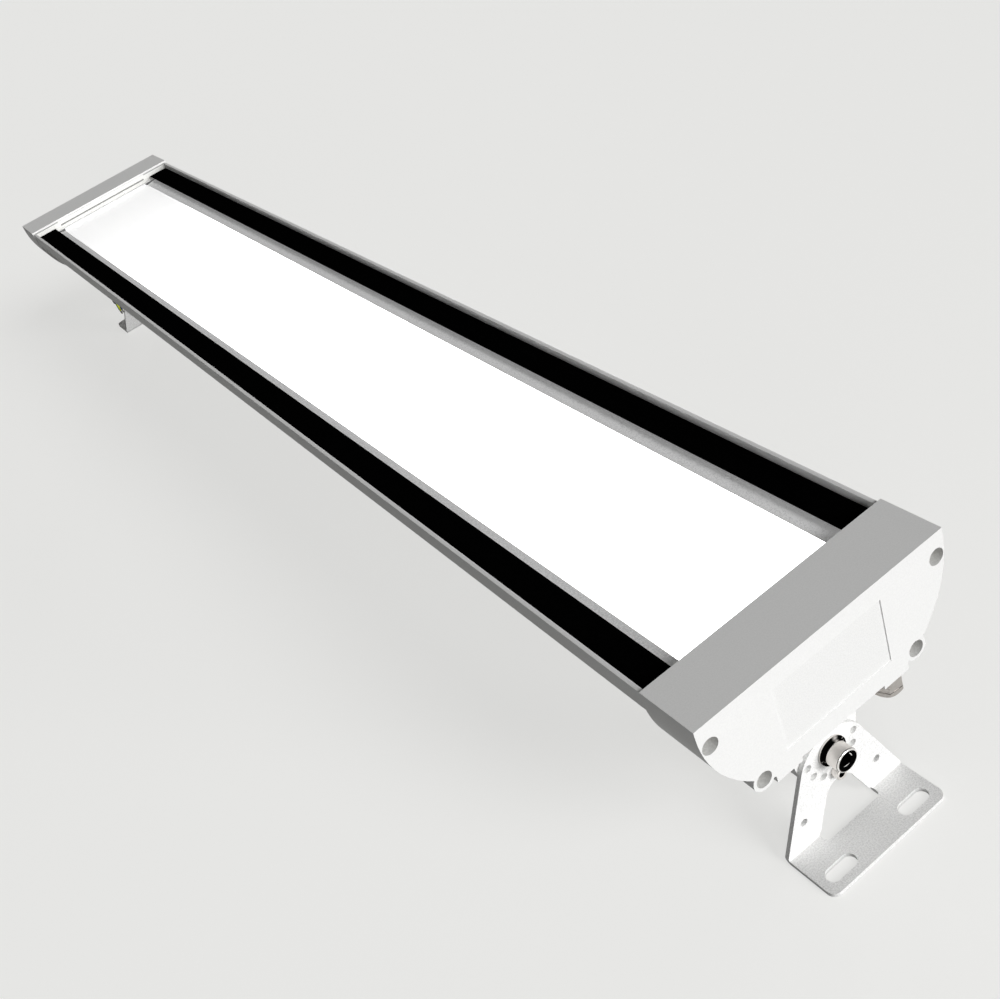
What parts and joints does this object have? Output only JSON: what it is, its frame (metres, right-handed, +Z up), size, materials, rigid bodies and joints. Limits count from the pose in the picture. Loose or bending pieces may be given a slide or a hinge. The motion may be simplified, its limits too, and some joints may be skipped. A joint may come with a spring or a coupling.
{
  "type": "led tunnel light",
  "caption": "Long sealed tunnel light: extruded housing with a glass front and lit opal panel, cast end caps, tilting slotted brackets, cable gland and vent plug.",
  "frame": {"origin": "middle of the light, on the plane that the bracket feet stand on", "axes": "+Y along the light, away from the camera end; +Z up, out of the glass; X across"},
  "size_m": [0.18, 1.2356, 0.1738],
  "materials": {
    "powder_coated_aluminium": "light grey to white powder coat, finely textured, over extruded and die-cast aluminium",
    "powder_coated_steel": "light grey to white powder coat, finely textured, over folded steel sheet",
    "clear_glass": "clear toughened glass, with a black enamel band along each long edge",
    "opal_diffuser": "opal white acrylic, evenly lit from behind",
    "white_bezel": "white, fine matt grain",
    "white_silicone": "white silicone, matt",
    "black_rubber": "black rubber, matt",
    "nickel_brass": "nickel-plated brass, satin",
    "stainless_steel": "stainless steel, turned and polished",
    "tray_aluminium": "bare sheet aluminium",
    "driver_case": "painted aluminium case, potted",
    "surge_case": "black moulded plastic",
    "terminal_plastic": "cream moulded plastic",
    "board_white": "white solder mask with yellow-faced diodes",
    "black_cable": "black cable jacket, matt",
    "brown_core": "brown core with a tinned tip",
    "earth_core": "green and yellow core with a tinned tip",
    "blue_core": "blue core with a tinned tip"
  },
  "bodies": {
    "luminaire": {"blue_core": "blue_core", "board_link_lead_1": "black_cable", "board_link_lead_2": "black_cable", "board_link_lead_3": "black_cable", "brown_core": "brown_core", "cover_glass": "clear_glass", "diffuser": "opal_diffuser", "driver_to_board_lead": "black_cable", "earth_core": "earth_core", "far_cap_screw_1": "stainless_steel", "far_cap_screw_2": "stainless_steel", "far_cap_screw_3": "stainless_steel", "far_cap_screw_4": "stainless_steel", "far_end_bezel": "white_bezel", "far_end_cap": "powder_coated_aluminium", "far_end_gasket": "white_silicone", "far_pivot_bolt": "stainless_steel", "far_pivot_nut": "stainless_steel", "far_pivot_washer": "stainless_steel", "far_spring_washer": "stainless_steel", "gear_tray": "tray_aluminium", "gland_body": "nickel_brass", "gland_nut": "nickel_brass", "gland_ring_seal": "black_rubber", "gland_sleeve": "black_rubber", "housing": "powder_coated_aluminium", "led_board_1": "board_white", "led_board_2": "board_white", "led_board_3": "board_white", "led_board_4": "board_white", "led_driver": "driver_case", "left_bezel": "white_bezel", "left_glass_seal": "black_rubber", "near_cap_screw_1": "stainless_steel", "near_cap_screw_2": "stainless_steel", "near_cap_screw_3": "stainless_steel", "near_cap_screw_4": "stainless_steel", "near_end_bezel": "white_bezel", "near_end_cap": "powder_coated_aluminium", "near_end_gasket": "white_silicone", "near_pivot_bolt": "stainless_steel", "near_pivot_nut": "stainless_steel", "near_pivot_washer": "stainless_steel", "near_spring_washer": "stainless_steel", "right_bezel": "white_bezel", "right_glass_seal": "black_rubber", "supply_cable": "black_cable", "supply_cable_inside": "black_cable", "surge_protector": "surge_case", "surge_to_driver_lead": "black_cable", "terminal_block": "terminal_plastic", "terminal_to_surge_lead": "black_cable", "vent_plug": "nickel_brass", "vent_ring_seal": "black_rubber", "web_grommet": "black_rubber"},
    "near_bracket": {"near_bracket": "powder_coated_steel", "near_index_screw": "stainless_steel"},
    "far_bracket": {"far_bracket": "powder_coated_steel", "far_index_screw": "stainless_steel"}
  },
  "joints": [
    {"name": "near_bracket_tilt", "type": "hinge", "parent": "luminaire", "child": "near_bracket", "pos_m": [0, -0.5807, 0.0609], "axis": [0, 1, 0], "range_deg": [-60, 60]},
    {"name": "far_bracket_tilt", "type": "hinge", "parent": "luminaire", "child": "far_bracket", "pos_m": [0, 0.5807, 0.0609], "axis": [0, 1, 0], "range_deg": [-60, 60]}
  ]
}
